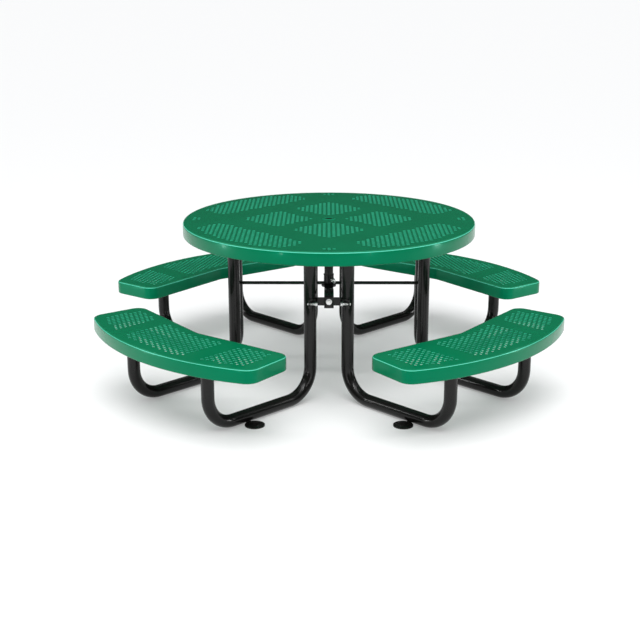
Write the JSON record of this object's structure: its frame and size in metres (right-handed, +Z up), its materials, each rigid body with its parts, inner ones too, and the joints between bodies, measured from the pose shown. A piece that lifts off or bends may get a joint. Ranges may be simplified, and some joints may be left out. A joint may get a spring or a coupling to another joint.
{
  "type": "picnic table",
  "caption": "Low round picnic table with a perforated steel disc top and four curved bench seats on bent tube legs, with an umbrella socket and clamp screw.",
  "frame": {"origin": "on the ground under the middle of the top", "axes": "+Z up; X and Y run through the gaps between the seats, which stand on the diagonals; -Y is the front"},
  "size_m": [1.8222, 1.8222, 0.6328],
  "materials": {
    "green_coating": "glossy thermoplastic coating on perforated steel",
    "black_powder_coat": "glossy black powder coat on steel",
    "bright_zinc": "bright zinc plate",
    "black_nylon": "moulded nylon"
  },
  "bodies": {
    "table": {"tabletop": "green_coating", "seat_front_right": "green_coating", "seat_rear_right": "green_coating", "seat_rear_left": "green_coating", "seat_front_left": "green_coating", "seat_crossbar_front_right": "black_powder_coat", "leg_front_right_a": "black_powder_coat", "leg_front_right_b": "black_powder_coat", "foot_plate_front_right_a": "black_powder_coat", "foot_plate_front_right_b": "black_powder_coat", "seat_crossbar_rear_right": "black_powder_coat", "leg_rear_right_a": "black_powder_coat", "leg_rear_right_b": "black_powder_coat", "foot_plate_rear_right_a": "black_powder_coat", "foot_plate_rear_right_b": "black_powder_coat", "seat_crossbar_rear_left": "black_powder_coat", "leg_rear_left_a": "black_powder_coat", "leg_rear_left_b": "black_powder_coat", "foot_plate_rear_left_a": "black_powder_coat", "foot_plate_rear_left_b": "black_powder_coat", "seat_crossbar_front_left": "black_powder_coat", "leg_front_left_a": "black_powder_coat", "leg_front_left_b": "black_powder_coat", "foot_plate_front_left_a": "black_powder_coat", "foot_plate_front_left_b": "black_powder_coat", "top_plate_front": "black_powder_coat", "pair_bar_front": "black_powder_coat", "top_plate_right": "black_powder_coat", "pair_bar_right": "black_powder_coat", "top_plate_rear": "black_powder_coat", "pair_bar_rear": "black_powder_coat", "top_plate_left": "black_powder_coat", "pair_bar_left": "black_powder_coat", "brace_left_right": "black_powder_coat", "brace_front_rear": "black_powder_coat", "hub_disc": "black_powder_coat", "umbrella_sleeve": "black_powder_coat", "umbrella_tube": "black_powder_coat", "brace_bolt_front": "bright_zinc", "top_bolt_front": "bright_zinc", "pinch_bolt_front_a": "bright_zinc", "pinch_bolt_front_b": "bright_zinc", "brace_bolt_right": "bright_zinc", "top_bolt_right": "bright_zinc", "brace_bolt_rear": "bright_zinc", "top_bolt_rear": "bright_zinc", "pinch_bolt_rear_a": "bright_zinc", "pinch_bolt_rear_b": "bright_zinc", "brace_bolt_left": "bright_zinc", "top_bolt_left": "bright_zinc", "seat_bolt_front_right": "bright_zinc", "seat_bolt_rear_right": "bright_zinc", "seat_bolt_rear_left": "bright_zinc", "seat_bolt_front_left": "bright_zinc"},
    "pad": {"pressure_pad": "black_nylon"},
    "screw": {"clamp_screw": "bright_zinc"}
  },
  "joints": [
    {"name": "clamp_travel", "type": "slide", "parent": "table", "child": "pad", "axis": [-0.5, 0.866, 0], "range_m": [0, 0.006]},
    {"name": "clamp_turn", "type": "hinge", "parent": "pad", "child": "screw", "pos_m": [0.00935, -0.01619, 0.381], "axis": [-0.5, 0.866, 0], "range_deg": [0, 1440]}
  ],
  "couplings": [
    {"joint": "clamp_travel", "follows": "clamp_turn", "m_per_rad": 0.0002387}
  ]
}
